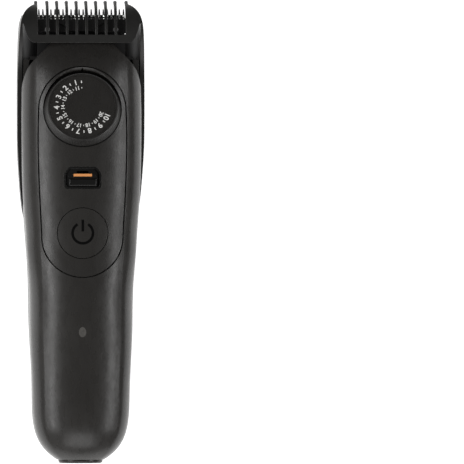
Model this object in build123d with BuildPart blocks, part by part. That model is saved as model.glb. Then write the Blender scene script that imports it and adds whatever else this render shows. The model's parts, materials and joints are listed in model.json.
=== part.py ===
"""Beard trimmer with its short length comb fitted, lying on its back.

Millimetres. X is across, +Y runs towards the cutter head, +Z is out of the
front, where the dial and the buttons are. The origin is on the surface it
rests on, under the middle of the bounding box.
"""

import os
from math import cos, hypot, pi, radians, sin

from build123d import *

os.makedirs("parts", exist_ok=True)

# ---------------------------------------------------------------- dimensions

LENGTH = 166.6  # overall, comb tips to base cap
HALF = LENGTH / 2
WALL = 2.0  # housing wall
GROOVE = 0.2  # half of the shadow gap round the control panel
FIT = 0.05  # radial running clearance

# Outer form of the handle: place along Y, half width, back height, front height
STATIONS = [
    (-82.0, 8.4, 6.0, 20.5),
    (-80.1, 11.1, 3.6, 22.9),
    (-76.1, 14.55, 1.0, 26.0),
    (-71.5, 16.45, -0.5, 28.0),
    (-62.0, 17.5, -1.2, 29.8),
    (-40.0, 18.3, -1.2, 31.8),
    (-15.0, 19.05, -1.2, 33.5),
    (0.0, 20.1, -1.2, 34.4),
    (12.0, 20.95, -1.2, 34.9),
    (25.0, 21.45, -1.2, 35.0),
    (38.0, 21.6, -1.2, 34.2),
    (50.0, 21.6, -1.2, 32.2),
    (58.0, 21.55, -1.2, 29.8),
    (64.0, 21.5, -1.2, 27.0),
    (70.0, 21.4, -1.2, 23.4),
]

# The seam between front and rear shell slopes up towards the head
SEAM_AT_BASE = 12.0
SEAM_SLOPE = 0.055

# Guide form: the straight part of the rear shell that the comb slides along
GUIDE_W = 20.8
GUIDE_BACK = 2.0
GUIDE_END = 62.0
COMB_GAP = 0.4
COMB_WALL = 1.7
COMB_W = GUIDE_W + COMB_GAP + COMB_WALL
COMB_BACK = 0.0

# Length dial
DIAL_TILT = 18.0
DIAL_BASE = (0.0, 43.82, 30.2)
DIAL_R = 13.8
DIAL_FACE_R = 12.5
DIAL_H = 4.0
DIAL_HOLE_R = 14.1
SHAFT_R = 2.6
MM_PER_TURN = 14.0
PINION_TEETH = 8
PINION_R = MM_PER_TURN * cos(radians(DIAL_TILT)) / (2 * pi)
TOOTH_PITCH = 2 * pi * PINION_R / PINION_TEETH
ADDENDUM = 0.45
DEDENDUM = 0.62
TOOTH_TIP = 0.32
TOOTH_MID = 0.74
TOOTH_ROOT = 0.9

# Controls
BUTTON_Y = -0.4
BUTTON_R = 9.0
BUTTON_HOLE_R = 9.25
LENS_Y = -36.0

# Cutter head
BLADE_TILT = 20.0
BLADE_TIP = (0.0, 80.4, 19.5)
BLADE_W = 32.0
TEETH = 22
TEETH_PITCH = 1.45
TINE_PITCH = 3.51
TINE_W = 1.05

# Inside
BATTERY_R = 7.1
BATTERY_L = 50.0
BATTERY_Z = 12.3
MOTOR_W = 20.0
MOTOR_H = 14.0
MOTOR_Z = 12.2
BOARD_Z = 23.6
BASE_Z = 13.25

# Details
LIP = 1.2  # how far the panel and its lip go below the housing wall
GUIDE_IN = GUIDE_W - 1.9
FLOOR = 1.5  # dial bearing plate
RIM_FROM = 2.9  # the dial's hole widens above this height
RIM_SLOPE = 45.0
WELL_R = 15.3
FACE_R = 11.7
CLIP_IN = 2.1
BUSH_R = 4.0
SEAL_R = 5.8
PLATE_TOP = 21.6
RACK_Y = (30.4, 43.7)
OUTER_TINE = 16.3
LATCH_Z = 22.4
LENS_W = 2.6
LENS_L = 3.6
PIN_X = 2.6
PIN_R = 0.8
SCREW_R = 0.9
HEAD_R = 2.0
BOSS_R = 2.8
HEAD_H = 1.9
POST_SKIN = 0.8  # what a screw post has below the screw's head
LOW_SCREW = (9.0, -66.0, 2.3)  # across, along, underside of the head
HIGH_SCREW = (12.0, 17.5, 2.9)
SCREWS = [(s * x, y, z) for x, y, z in (LOW_SCREW, HIGH_SCREW) for s in (1, -1)]
BOARD_T = 1.6
BOARD_SCREWS = [(10, -40), (-10, -40), (10, 8), (-10, 8)]
BLADE_SCREW_R = 0.4
MOTOR_SHAFT_R = 0.75
STROKE = 1.0

DIAL_PLANE = Plane(
    origin=DIAL_BASE,
    x_dir=(1, 0, 0),
    z_dir=(0, sin(radians(DIAL_TILT)), cos(radians(DIAL_TILT))),
)
DIAL_SIDE = Plane(
    origin=DIAL_BASE,
    x_dir=(1, 0, 0),
    z_dir=(0, -cos(radians(DIAL_TILT)), sin(radians(DIAL_TILT))),
)
DIAL_AXIS = Axis(DIAL_BASE, tuple(DIAL_PLANE.z_dir))
BLADE_PLANE = Plane(
    origin=BLADE_TIP,
    x_dir=(1, 0, 0),
    z_dir=(0, sin(radians(BLADE_TILT)), cos(radians(BLADE_TILT))),
)


def seam(y):
    """Height of the seam between the shells at a place along Y."""
    return SEAM_AT_BASE + SEAM_SLOPE * (y + HALF)


def keep(part, name):
    """Label a finished piece and write it."""
    part.label = name
    export_step(part, f"parts/{name}.step")


# ---------------------------------------------------------------- profiles


def handle_section(y, w, back, front, inset=0.0):
    """One cross-section of the handle, crowned in front and flat behind."""
    w -= inset
    back += inset
    front -= inset
    h = front - back
    flat = 0.55 * w
    low = back + min(11.0, 0.42 * h)
    high = front - min(12.0, 0.40 * h)
    edge = 0.76 * w
    drop = 0.105 * h
    crown = (edge**2 + drop**2) / (2 * drop)
    slope = edge / crown
    reach = 0.5 * (w - edge)
    rise = 0.5 * (front - drop - high)
    side = 0.55 * (low - back)
    across = 0.55 * (w - flat)
    with BuildSketch(Plane.XZ.offset(-y)) as sketch:
        with BuildLine():
            Line((-flat, back), (flat, back))
            for s in (1, -1):
                Bezier(
                    (s * flat, back),
                    (s * (flat + across), back),
                    (s * w, low - side),
                    (s * w, low),
                )
                Line((s * w, low), (s * w, high))
                Bezier(
                    (s * w, high),
                    (s * w, high + rise),
                    (s * (edge + reach), front - drop - reach * slope),
                    (s * edge, front - drop),
                )
            ThreePointArc((-edge, front - drop), (0, front), (edge, front - drop))
        make_face()
    return sketch.sketch


def guide_section(y, w, back, top):
    """A U-shaped cross-section with a flat back and upright sides."""
    flat = 0.52 * w
    low = back + 0.5 * w
    across = 0.55 * (w - flat)
    side = 0.55 * (low - back)
    with BuildSketch(Plane.XZ.offset(-y)) as sketch:
        with BuildLine():
            Line((-flat, back), (flat, back))
            for s in (1, -1):
                Bezier(
                    (s * flat, back),
                    (s * (flat + across), back),
                    (s * w, low - side),
                    (s * w, low),
                )
                Line((s * w, low), (s * w, top))
            Line((-w, top), (w, top))
        make_face()
    return sketch.sketch


def shifted(points, amount):
    """Move an open run of points sideways by an amount, each along its normal."""
    moved = []
    for i, (x, y) in enumerate(points):
        before = points[max(i - 1, 0)]
        after = points[min(i + 1, len(points) - 1)]
        dx = after[0] - before[0]
        dy = after[1] - before[1]
        run = hypot(dx, dy)
        moved.append((x + amount * dy / run, y - amount * dx / run))
    return moved


def comb_outline(gap=0.0):
    """Plan of the comb: straight sides, round lobes, half-moon lower end."""
    upper = [
        (22.9, 36.0),
        (22.9, 52.0),
        (22.65, 65.0),
        (22.3, 72.2),
        (21.2, 77.9),
        (19.05, 80.8),
        (16.9, 82.0),
    ]
    lower = [
        (22.0, 17.7),
        (20.9, 8.1),
        (18.9, 0.9),
        (14.4, -6.3),
        (9.5, -9.9),
    ]
    side = shifted(upper, gap)
    end = [(x + 0.9 * gap, y - 0.5 * gap) for x, y in lower]
    top = 84.0 + gap
    with BuildSketch() as sketch:
        with BuildLine():
            for s in (1, -1):
                Spline([(s * x, y) for x, y in side], tangents=[(0, 1), (-s, 0.32)])
                Spline(
                    [(s * side[0][0], 36.0)] + [(s * x, y) for x, y in end] + [(0, -12.4 - gap)],
                    tangents=[(0, -1), (-s, 0)],
                )
                Line((s * side[-1][0], side[-1][1]), (s * side[-1][0], top))
            Line((-side[-1][0], top), (side[-1][0], top))
        make_face()
    return sketch.sketch


def shoulder_outline(inset=0.0):
    """Plan of the front shell: full width, then drawn in to the head."""
    shoulder = shifted(
        [
            (21.75, 45),
            (21.5, 51.7),
            (20.9, 54.9),
            (19.9, 57.8),
            (18.4, 60.3),
            (16.5, 62.5),
            (14.7, 64.3),
        ],
        -inset,
    )
    corner = 11.3 - 0.42 * inset
    top = 67.7 - inset
    with BuildSketch() as sketch:
        with BuildLine():
            for s in (1, -1):
                Polyline((s * 24, -90), (s * 24, 40), (s * shoulder[0][0], shoulder[0][1]))
                Spline([(s * x, y) for x, y in shoulder])
                Polyline(
                    (s * shoulder[-1][0], shoulder[-1][1]),
                    (s * corner, top),
                    (s * (corner - 1.7), top + 1.7),
                )
            Line((1.7 - corner, top + 1.7), (corner - 1.7, top + 1.7))
            Line((-24, -90), (24, -90))
        make_face()
    return sketch.sketch


def panel_outline(grow=0.0):
    """Plan of the control panel: two arcs joined by nearly straight sides."""
    side = [(15.7, 44), (15.9, 30), (15.3, 12), (14.6, -1)]
    with BuildSketch() as sketch:
        with BuildLine():
            ThreePointArc((-15.7 - grow, 44), (0, 59.5 + grow), (15.7 + grow, 44))
            ThreePointArc((-14.6 - grow, -1), (0, -16.3 - grow), (14.6 + grow, -1))
            for s in (1, -1):
                Spline([(s * (x + grow), y) for x, y in side])
        make_face()
    return sketch.sketch


def release_outline(shrink=0.0):
    """Plan of the release recess: a rounded trapezoid."""
    with BuildSketch() as sketch:
        with BuildLine():
            Polyline(
                (-6.75 + shrink, 15.4 + shrink),
                (6.75 - shrink, 15.4 + shrink),
                (6.75 - shrink, 21.0),
                (4.9 - 0.6 * shrink, 23.5 - shrink),
                (-4.9 + 0.6 * shrink, 23.5 - shrink),
                (-6.75 + shrink, 21.0),
                close=True,
            )
        make_face()
        fillet(sketch.vertices(), 1.5 - 0.5 * shrink)
    return sketch.sketch


def side_profile(points):
    """A closed outline in the YZ plane, from (y, z) points."""
    with BuildSketch(Plane.YZ) as sketch:
        with BuildLine():
            Polyline(*points, close=True)
        make_face()
    return sketch.sketch


def at_blade(y, s):
    """Turn a place in the tilted blade plane into (y, z) of the whole part."""
    tilt = radians(BLADE_TILT)
    return (
        BLADE_TIP[1] + y * cos(tilt) + s * sin(tilt),
        BLADE_TIP[2] - y * sin(tilt) + s * cos(tilt),
    )


def turned(points):
    """A half profile beside the dial axis: (radius, height above the base)."""
    with BuildSketch(DIAL_SIDE) as sketch:
        with BuildLine():
            Polyline(*points, close=True)
        make_face()
    return sketch.sketch


def disc(plane, radius, x=0.0, y=0.0):
    """A circle on a plane."""
    with BuildSketch(plane) as sketch:
        with Locations((x, y)):
            Circle(radius)
    return sketch.sketch


def block(plane, low, high):
    """A rectangle on a plane, from its low corner to its high corner."""
    with BuildSketch(plane) as sketch:
        with Locations(((low[0] + high[0]) / 2, (low[1] + high[1]) / 2)):
            Rectangle(high[0] - low[0], high[1] - low[1])
    return sketch.sketch


def oval(y, width, height):
    """A slot shape across the base end of the handle."""
    with BuildSketch(Plane.XZ.offset(-y)) as sketch:
        with Locations((0, BASE_Z)):
            SlotOverall(width, height)
    return sketch.sketch


def ellipse(y, half_width, half_height):
    """An ellipse across the base end of the handle."""
    with BuildSketch(Plane.XZ.offset(-y)) as sketch:
        with Locations((0, BASE_Z)):
            Ellipse(half_width, half_height)
    return sketch.sketch


def motor_outline(y):
    """Round can with two flats, across Y."""
    with BuildSketch(Plane.XZ.offset(-y)) as sketch:
        with Locations((0, MOTOR_Z)):
            Circle(MOTOR_W / 2)
            Rectangle(MOTOR_W + 1, MOTOR_H, mode=Mode.INTERSECT)
    return sketch.sketch


def toothed_edge(half, root, rear, tip, count, root_w, tip_w):
    """Plan of a blade: a bar with a row of tapered teeth along its front."""
    with BuildSketch(BLADE_PLANE) as sketch:
        with Locations((0, (root + rear) / 2)):
            Rectangle(2 * half, root - rear)
        for i in range(count):
            x = (i - (count - 1) / 2) * TEETH_PITCH
            with BuildLine():
                Polyline(
                    (x - root_w / 2, root - 0.1),
                    (x - tip_w / 2, tip),
                    (x + tip_w / 2, tip),
                    (x + root_w / 2, root - 0.1),
                    close=True,
                )
            make_face()
    return sketch.sketch


def pinion_tooth(angle):
    """Corners of one pinion tooth, turned to its place round the shaft."""
    flank = [
        (PINION_R - DEDENDUM - 0.2, TOOTH_ROOT / 2),
        (PINION_R - DEDENDUM, TOOTH_ROOT / 2),
        (PINION_R, TOOTH_MID / 2),
        (PINION_R + ADDENDUM, TOOTH_TIP / 2),
    ]
    corners = [(r, -half) for r, half in flank] + flank[::-1]
    return [(r * cos(angle) - t * sin(angle), r * sin(angle) + t * cos(angle)) for r, t in corners]


# ---------------------------------------------------------------- shared forms

with BuildPart() as outer_form:
    loft([handle_section(*station) for station in STATIONS])
    extrude(block(Plane.XY, (-30, -100), (30, 100)), amount=-5, mode=Mode.SUBTRACT)

with BuildPart() as inner_form:
    loft([handle_section(*station, inset=WALL) for station in STATIONS[1:]])

with BuildPart() as lip_form:
    loft([handle_section(*station, inset=WALL + LIP) for station in STATIONS[1:]])

with BuildPart() as above_seam:
    extrude(
        side_profile([(-95, seam(-95)), (95, seam(95)), (95, 60), (-95, 60)]),
        amount=30,
        both=True,
    )

with BuildPart() as guide_form:
    extrude(guide_section(-20, GUIDE_W, GUIDE_BACK, 60), amount=-(GUIDE_END + 20))

with BuildPart() as guide_hollow:
    extrude(guide_section(-15, GUIDE_IN, GUIDE_BACK + WALL, 60), amount=-90)

with BuildPart() as comb_pocket:
    extrude(comb_outline(COMB_GAP), amount=60, both=True)
    add(guide_form.part, mode=Mode.SUBTRACT)

with BuildPart() as front_hollow:
    add(inner_form.part)
    extrude(shoulder_outline(WALL), amount=60, mode=Mode.INTERSECT)

with BuildPart() as rear_hollow:
    add(guide_hollow.part)
    extrude(block(Plane.XZ.offset(15), (-30, 1.8), (30, 60)), amount=75)
    add(inner_form.part, mode=Mode.INTERSECT)

with BuildPart() as panel_lip:
    add(inner_form.part)
    add(lip_form.part, mode=Mode.SUBTRACT)
    add(above_seam.part, mode=Mode.INTERSECT)
    extrude(panel_outline(1.4), amount=60, mode=Mode.INTERSECT)

with BuildPart() as dial_well:
    extrude(disc(DIAL_PLANE.offset(-FLOOR), WELL_R), amount=20)
    add(outer_form.part, mode=Mode.INTERSECT)
    extrude(panel_outline(-GROOVE), amount=60, mode=Mode.INTERSECT)

with BuildPart() as release_pocket:
    add(outer_form.part)
    add(inner_form.part, mode=Mode.SUBTRACT)
    add(above_seam.part, mode=Mode.INTERSECT)
    extrude(release_outline(0.7), amount=60, mode=Mode.INTERSECT)

# The rear shell's screw posts stop at its own skin, so that the comb slides past them
with BuildPart() as screw_posts:
    for x, y, z in SCREWS:
        extrude(disc(Plane.XY.offset(z - POST_SKIN), BOSS_R, x, y), amount=seam(y) - z + POST_SKIN - 0.2)
    add(outer_form.part, mode=Mode.INTERSECT)
    add(comb_pocket.part, mode=Mode.SUBTRACT)

# ---------------------------------------------------------------- housing

with BuildPart() as front_shell:
    add(outer_form.part)
    add(above_seam.part, mode=Mode.INTERSECT)
    extrude(shoulder_outline(), amount=60, mode=Mode.INTERSECT)
    add(front_hollow.part, mode=Mode.SUBTRACT)
    extrude(panel_outline(GROOVE), amount=60, mode=Mode.SUBTRACT)
    with BuildSketch(Plane.XY.offset(20)):
        with Locations((0, LENS_Y)):
            Ellipse(LENS_W / 2, LENS_L / 2)
    extrude(amount=20, mode=Mode.SUBTRACT)
    extrude(ellipse(-79, 7.2, 5.3), amount=5, mode=Mode.SUBTRACT)
    extrude(block(Plane.XZ.offset(-66), (-8.4, 19), (8.4, 22)), amount=-5, mode=Mode.SUBTRACT)
keep(front_shell.part, "front_shell")

with BuildPart() as front_bosses:
    for x in (-LOW_SCREW[0], LOW_SCREW[0]):
        extrude(disc(Plane.XY.offset(seam(LOW_SCREW[1]) + 0.2), BOSS_R, x, LOW_SCREW[1]), amount=20)
    add(inner_form.part, mode=Mode.INTERSECT)
    for x in (-LOW_SCREW[0], LOW_SCREW[0]):
        extrude(disc(Plane.XY, SCREW_R, x, LOW_SCREW[1]), amount=24, mode=Mode.SUBTRACT)
keep(front_bosses.part, "front_screw_bosses")

with BuildPart() as rear_shell:
    add(outer_form.part)
    add(above_seam.part, mode=Mode.SUBTRACT)
    add(comb_pocket.part, mode=Mode.SUBTRACT)
    add(rear_hollow.part, mode=Mode.SUBTRACT)
    extrude(block(Plane.XZ.offset(-GUIDE_END), (-30, -5), (30, 60)), amount=-20, mode=Mode.SUBTRACT)
    extrude(ellipse(-79, 7.2, 5.3), amount=5, mode=Mode.SUBTRACT)
    for s in (1, -1):
        extrude(
            block(Plane.XZ.offset(-42), (s * 20 - 3, 12), (s * 20 + 3, 16.4)),
            amount=-25,
            mode=Mode.SUBTRACT,
        )
    add(screw_posts.part)
    for x, y, z in SCREWS:
        extrude(disc(Plane.XY, HEAD_R + 0.2, x, y), amount=z + HEAD_H, mode=Mode.SUBTRACT)
        extrude(disc(Plane.XY, SCREW_R + 0.1, x, y), amount=20, mode=Mode.SUBTRACT)
keep(rear_shell.part, "rear_shell")

with BuildPart() as housing_screws:
    for x, y, z in SCREWS:
        extrude(disc(Plane.XY.offset(z), HEAD_R, x, y), amount=HEAD_H)
        extrude(disc(Plane.XY.offset(z + HEAD_H), SCREW_R, x, y), amount=17)
        with BuildSketch(Plane.XY.offset(z)):
            with Locations((x, y)):
                Rectangle(2.4, 0.6)
                Rectangle(0.6, 2.4)
        extrude(amount=0.9, mode=Mode.SUBTRACT)
keep(housing_screws.part, "housing_screws")

with BuildPart() as control_panel:
    add(outer_form.part)
    add(lip_form.part, mode=Mode.SUBTRACT)
    add(above_seam.part, mode=Mode.INTERSECT)
    extrude(panel_outline(-GROOVE), amount=60, mode=Mode.INTERSECT)
    add(panel_lip.part)
    add(dial_well.part)
    extrude(disc(DIAL_PLANE.offset(-10), DIAL_HOLE_R), amount=30, mode=Mode.SUBTRACT)
    extrude(
        disc(DIAL_PLANE.offset(RIM_FROM), DIAL_HOLE_R), amount=3, taper=-RIM_SLOPE, mode=Mode.SUBTRACT
    )
    extrude(release_outline(), amount=60, mode=Mode.SUBTRACT)
    extrude(disc(Plane.XY, BUTTON_HOLE_R, 0, BUTTON_Y), amount=60, mode=Mode.SUBTRACT)
    with BuildSketch(DIAL_PLANE.offset(-1)):
        with Locations((0, DIAL_HOLE_R)):
            Rectangle(0.6, 1.2)
    extrude(amount=12, mode=Mode.SUBTRACT)
keep(control_panel.part, "control_panel")

with BuildPart() as base_cap:
    extrude(ellipse(-82, 8.0, 6.1), amount=1.3)
    rim = base_cap.edges().group_by(Axis.Y)[0]
    fillet(rim, 0.9)
    extrude(ellipse(-80.1, 7.2, 5.3), amount=1.9)
    extrude(oval(-72, 11.6, 6.6), amount=20, mode=Mode.SUBTRACT)
    extrude(oval(-72, 13.2, 8.2), amount=10.6, mode=Mode.SUBTRACT)
keep(base_cap.part, "base_cap")

with BuildPart() as charging_socket:
    extrude(oval(-72.5, 13.2, 8.2), amount=10.1)
    extrude(oval(-74.3, 11.6, 6.6), amount=10, mode=Mode.SUBTRACT)
    for x in (-PIN_X, PIN_X):
        extrude(disc(Plane.XZ.offset(70), PIN_R, x, BASE_Z), amount=10, mode=Mode.SUBTRACT)
keep(charging_socket.part, "charging_socket")

with BuildPart() as socket_pins:
    for x in (-PIN_X, PIN_X):
        extrude(disc(Plane.XZ.offset(70.5), PIN_R, x, BASE_Z), amount=8)
    fillet(socket_pins.edges().group_by(Axis.Y)[0], 0.3)
keep(socket_pins.part, "socket_pins")

with BuildPart() as socket_seal:
    extrude(ellipse(-79.3, 7.9, 5.9), amount=0.7)
    extrude(ellipse(-79, 7.2, 5.2), amount=2, mode=Mode.SUBTRACT)
keep(socket_seal.part, "socket_seal")

with BuildPart() as neck_frame:
    extrude(
        side_profile([(60, 7.5), (60, seam(60)), (70.7, seam(70.7)), (70.7, 8.0), (66, 7.5)]),
        amount=15.8,
        both=True,
    )
    fillet(neck_frame.edges().filter_by(Axis.Y).group_by(Axis.Z)[0], 0.5)
    extrude(block(Plane.XZ.offset(-58), (-6, 8.8), (6, 17.5)), amount=-20, mode=Mode.SUBTRACT)
keep(neck_frame.part, "neck_frame")

with BuildPart() as neck_collar:
    extrude(guide_section(GUIDE_END, 18.5, GUIDE_BACK + 0.6, seam(62)), amount=-1.2)
    extrude(block(Plane.XZ.offset(-60), (-15.8, 7.5), (15.8, 25)), amount=-5, mode=Mode.SUBTRACT)
keep(neck_collar.part, "neck_collar")

# ---------------------------------------------------------------- length dial

with BuildPart() as length_dial:
    revolve(
        turned(
            [
                (SHAFT_R, 0.3),
                (DIAL_R, 0.3),
                (DIAL_R, 0.9),
                (DIAL_FACE_R + 0.15, DIAL_H - 0.2),
                (DIAL_FACE_R - 0.15, DIAL_H),
                (FACE_R, DIAL_H),
                (FACE_R, 3.2),
                (SHAFT_R, 3.2),
            ]
        ),
        axis=DIAL_AXIS,
    )
keep(length_dial.part, "length_dial")

with BuildPart() as dial_face:
    extrude(disc(DIAL_PLANE.offset(3.2), FACE_R - 0.05), amount=0.7)
keep(dial_face.part, "dial_face")

with BuildPart() as dial_shaft:
    extrude(disc(DIAL_PLANE.offset(-3.8), SHAFT_R), amount=7)
    with BuildSketch(DIAL_PLANE.offset(-3.7)):
        Circle(SHAFT_R + 1)
        Circle(CLIP_IN, mode=Mode.SUBTRACT)
    extrude(amount=0.6, mode=Mode.SUBTRACT)
    with BuildSketch(DIAL_PLANE.offset(-8)):
        Circle(PINION_R - DEDENDUM + 0.02)
        for i in range(PINION_TEETH):
            with BuildLine():
                Polyline(*pinion_tooth(pi + (i + 0.5) * 2 * pi / PINION_TEETH), close=True)
            make_face()
    extrude(amount=4.2)
keep(dial_shaft.part, "dial_shaft")

with BuildPart() as dial_clip:
    with BuildSketch(DIAL_PLANE.offset(-3.65)):
        Circle(4.0)
        Circle(CLIP_IN, mode=Mode.SUBTRACT)
        with Locations((0, -3)):
            Rectangle(2.4, 6, mode=Mode.SUBTRACT)
    extrude(amount=0.5)
keep(dial_clip.part, "dial_clip")

with BuildPart() as dial_bush:
    revolve(
        turned(
            [
                (SHAFT_R + FIT, -3.0),
                (BUSH_R, -3.0),
                (BUSH_R, -2.0),
                (BUSH_R + 0.8, -2.0),
                (BUSH_R + 0.8, -FLOOR),
                (BUSH_R, -FLOOR),
                (BUSH_R, 0.2),
                (SHAFT_R + FIT, 0.2),
            ]
        ),
        axis=DIAL_AXIS,
    )
keep(dial_bush.part, "dial_bush")

with BuildPart() as dial_bearing:
    extrude(disc(DIAL_PLANE.offset(-FLOOR), DIAL_HOLE_R), amount=FLOOR)
    extrude(disc(DIAL_PLANE.offset(-FLOOR), BUSH_R), amount=FLOOR, mode=Mode.SUBTRACT)
    with BuildSketch(DIAL_PLANE):
        Circle(SEAL_R + 0.5)
        Circle(SEAL_R - 0.5, mode=Mode.SUBTRACT)
    extrude(amount=-0.9, mode=Mode.SUBTRACT)
    extrude(block(DIAL_PLANE, (8, -4.5), (11, 4.5)), amount=-1, mode=Mode.SUBTRACT)
keep(dial_bearing.part, "dial_bearing")

with BuildPart() as dial_seal:
    with BuildSketch(DIAL_SIDE):
        with Locations((SEAL_R, -0.5)):
            Circle(0.4)
    revolve(axis=DIAL_AXIS)
keep(dial_seal.part, "dial_seal")

with BuildPart() as detent_spring:
    extrude(block(DIAL_PLANE.offset(-1), (8.2, -4.3), (10.8, 4.3)), amount=0.25)
    extrude(disc(DIAL_PLANE.offset(-0.8), 0.9, 9.5), amount=0.75, taper=30)
keep(detent_spring.part, "detent_spring")

# ---------------------------------------------------------------- length carrier

with BuildPart() as length_rack:
    with BuildSketch(DIAL_PLANE.offset(-14)):
        with Locations((-PINION_R - DEDENDUM - 1.2, -4)):
            Rectangle(2.44, 30)
        for i in range(-8, 4):
            with BuildLine():
                Polyline(
                    (-PINION_R - DEDENDUM - 0.1, i * TOOTH_PITCH - TOOTH_ROOT / 2),
                    (-PINION_R, i * TOOTH_PITCH - TOOTH_MID / 2),
                    (-PINION_R + ADDENDUM, i * TOOTH_PITCH - TOOTH_TIP / 2),
                    (-PINION_R + ADDENDUM, i * TOOTH_PITCH + TOOTH_TIP / 2),
                    (-PINION_R, i * TOOTH_PITCH + TOOTH_MID / 2),
                    (-PINION_R - DEDENDUM - 0.1, i * TOOTH_PITCH + TOOTH_ROOT / 2),
                    close=True,
                )
            make_face()
    extrude(amount=18)
    extrude(
        block(Plane.XY.offset(PLATE_TOP), (-8, RACK_Y[0]), (0, RACK_Y[1])),
        amount=3.4,
        mode=Mode.INTERSECT,
    )
keep(length_rack.part, "length_rack")

with BuildPart() as comb_carrier:
    extrude(block(Plane.XY.offset(PLATE_TOP - 1.4), (-18.2, 33), (18.2, 46.4)), amount=1.4)
    for s in (1, -1):
        extrude(block(Plane.XY.offset(12.4), (s * 17.4 - 0.8, 38), (s * 17.4 + 0.8, 46.4)), amount=8)
        extrude(block(Plane.XY.offset(12.4), (s * 18.5 - 2, 42.4), (s * 18.5 + 2, 46.4)), amount=3.6)
    fillet(comb_carrier.edges().filter_by(Axis.Z).group_by(Axis.Y)[0], 1.5)
keep(comb_carrier.part, "comb_carrier")

# ---------------------------------------------------------------- comb

PLATE_OUT = [
    (68.1, 26.4),
    (72.0, 25.75),
    (75.0, 24.9),
    (78.0, 23.4),
    (80.5, 21.6),
    (82.0, 19.8),
    (82.6, 18.0),
]
PLATE_IN = [(81.2, 17.6), (81.1, 19.0), (80.2, 20.4), (77.5, 22.2), (74.0, 23.9), (71.0, 24.9), (68.1, 25.1)]


def plate_profile():
    """Side view of the comb's front plate: a slab that curls over the blades."""
    with BuildSketch(Plane.YZ) as sketch:
        with BuildLine():
            Spline(PLATE_OUT)
            Line(PLATE_OUT[-1], PLATE_IN[0])
            Spline(PLATE_IN)
            Line(PLATE_IN[-1], PLATE_OUT[0])
        make_face()
    return sketch.sketch


def arm_profile():
    """Side view of the comb's arms, from the half-moon end up to the lobes."""
    with BuildSketch(Plane.YZ) as sketch:
        with BuildLine():
            Polyline((64, -1), (-14, -1), (-14, 4.5))
            Spline([(-14, 4.5), (-2, 10.2), (15, 15.2), (40, 17.9), (56, 18.7)])
            Spline([(56, 18.7), (62, 20.4), (67, 22.8), (71.5, 24.5), PLATE_OUT[2]])
            Spline(PLATE_OUT[2:])
            Spline([PLATE_OUT[-1], (81.6, 14.8), (79.0, 10.6), (74, 5.4), (69, 1.8), (64, -1)])
        make_face()
    return sketch.sketch


def plate_outline():
    """Plan of the front plate: its lower corners stand in from the arms."""
    with BuildSketch() as sketch:
        with BuildLine():
            Line((-16.4, 68.1), (16.4, 68.1))
            for s in (1, -1):
                Spline(
                    [(s * 16.4, 68.1), (s * 18.9, 69.3), (s * 20.0, 71.6), (s * 20.95, 74.9)],
                    tangents=[(s, 0), (s * 0.3, 1)],
                )
                Polyline((s * 20.95, 74.9), (s * 24, 74.9), (s * 24, 90))
            Line((-24, 90), (24, 90))
        make_face()
    return sketch.sketch


def tine_profile():
    """Side view of one tine: a thin fin over the blades with a round tip."""
    with BuildSketch(Plane.YZ) as sketch:
        with BuildLine():
            Spline(
                [
                    (69.2, 26.1),
                    (72.0, 25.7),
                    (75.0, 24.8),
                    (78.0, 23.3),
                    (80.5, 21.5),
                    (82.3, 19.4),
                    (HALF, 16.8),
                ],
                tangents=[(1, -0.15), (0, -1)],
            )
            Spline([(HALF, 16.8), (82.9, 15.7), (82.2, 15.3), (81.5, 15.9)], tangents=[(0, -1), (-0.2, 1)])
            Spline([(81.5, 15.9), (81.2, 18.0), (80.2, 20.2), (77.5, 22.1), (74.0, 23.8), (69.2, 25.2)])
            Line((69.2, 25.2), (69.2, 26.1))
        make_face()
    return sketch.sketch


with BuildPart() as tine:
    extrude(tine_profile(), amount=TINE_W / 2, both=True)
    fillet(tine.edges().filter_by(Axis.X, reverse=True), 0.3)

with BuildPart() as comb_arms:
    extrude(guide_section(-20, COMB_W + FIT, COMB_BACK, 40), amount=-110)
    extrude(
        guide_section(-30, COMB_W - COMB_WALL, GUIDE_BACK - COMB_GAP, 60),
        amount=-130,
        mode=Mode.SUBTRACT,
    )
    extrude(comb_outline(), amount=60, both=True, mode=Mode.INTERSECT)
    extrude(arm_profile(), amount=30, both=True, mode=Mode.INTERSECT)
    with BuildSketch(Plane.XY.offset(-1)):
        with Locations((0, 68)):
            Ellipse(14.5, 10)
        with Locations((0, 78)):
            Rectangle(29, 20)
    extrude(amount=9, mode=Mode.SUBTRACT)

with BuildPart() as length_comb:
    extrude(plate_profile(), amount=30, both=True)
    extrude(plate_outline(), amount=60, mode=Mode.INTERSECT)
    extrude(comb_outline(), amount=60, mode=Mode.INTERSECT)
    extrude(block(Plane.XY, (-15.9, 70.9), (15.9, 90)), amount=60, mode=Mode.SUBTRACT)
    add(comb_arms.part)
    for i in range(4):
        with Locations(((i + 0.5) * TINE_PITCH, 0, 0), (-(i + 0.5) * TINE_PITCH, 0, 0)):
            add(tine.part)
    with Locations((OUTER_TINE, 0, 0), (-OUTER_TINE, 0, 0)):
        add(tine.part)
    for s in (1, -1):
        extrude(block(Plane.XY.offset(12.4), (s * 20.3 - 1.1, 47), (s * 20.3 + 1.1, 60)), amount=3.6)
keep(length_comb.part, "length_comb")

# ---------------------------------------------------------------- release slider

with BuildPart() as release_bezel:
    add(outer_form.part)
    add(lip_form.part, mode=Mode.SUBTRACT)
    add(above_seam.part, mode=Mode.INTERSECT)
    extrude(release_outline(), amount=60, mode=Mode.INTERSECT)
    add(release_pocket.part, mode=Mode.SUBTRACT)
    extrude(block(Plane.XY.offset(20), (-2.1, 16.7), (2.1, 21.9)), amount=20, mode=Mode.SUBTRACT)
keep(release_bezel.part, "release_bezel")

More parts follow.
